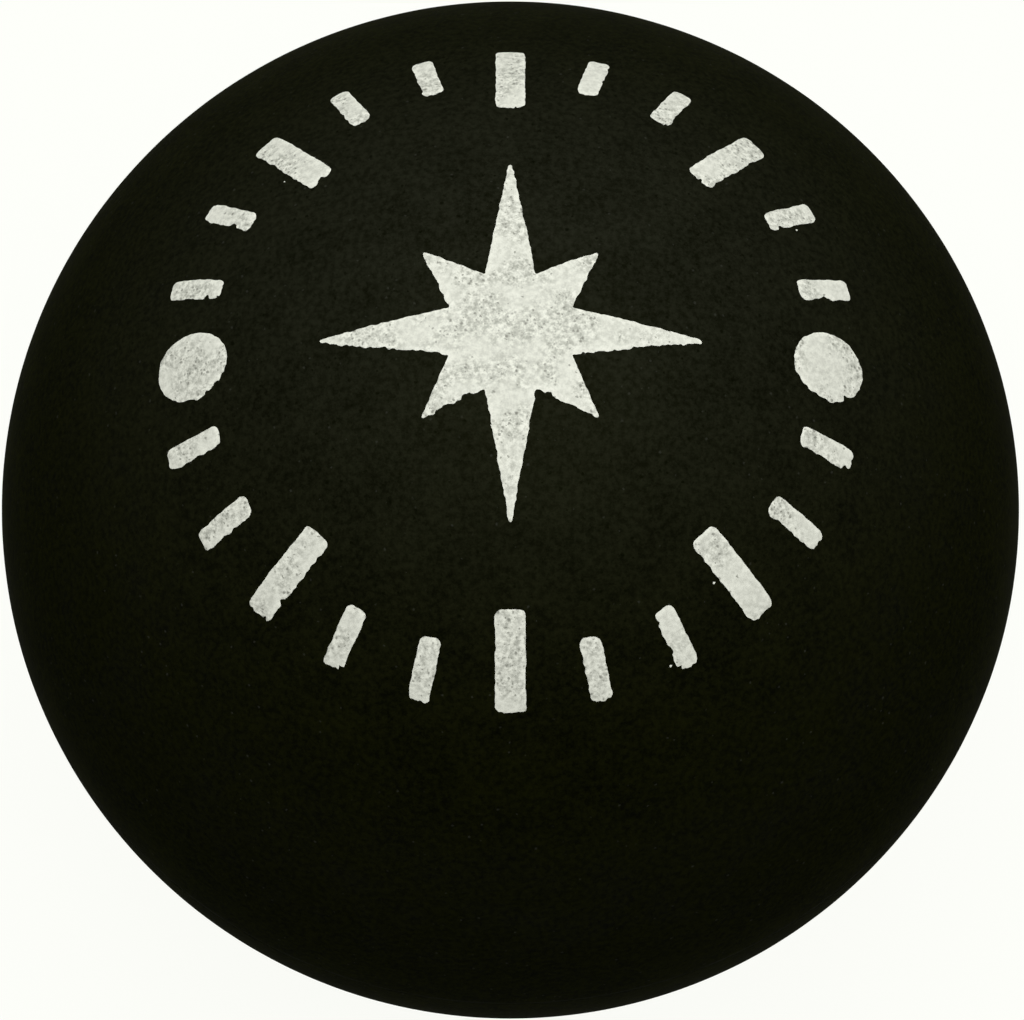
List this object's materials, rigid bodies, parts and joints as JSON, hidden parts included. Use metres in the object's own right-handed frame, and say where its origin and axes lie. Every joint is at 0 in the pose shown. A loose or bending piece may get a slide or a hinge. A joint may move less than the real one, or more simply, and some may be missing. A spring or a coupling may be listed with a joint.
{
  "type": "squash ball",
  "caption": "Hollow matt black rubber ball of half shells cemented at an equator seam, with a white stamped compass star and tick ring on one pole; struck by rackets in a walled court.",
  "frame": {"origin": "centre of the ball", "axes": "+Z through the middle of the stamped print, with the cemented seam in the XY plane; +X towards one of the two speed dots"},
  "size_m": [0.04, 0.04, 0.0401],
  "materials": {
    "shell_rubber": "matt, buffed",
    "seam_cement": "matt, cured",
    "stamp_ink": "matt ink film"
  },
  "bodies": {
    "root": {"upper_half_shell": "shell_rubber", "lower_half_shell": "shell_rubber", "seam_cement": "seam_cement", "stamp_star": "stamp_ink", "stamp_ticks": "stamp_ink", "stamp_speed_dots": "stamp_ink"}
  },
  "joints": []
}
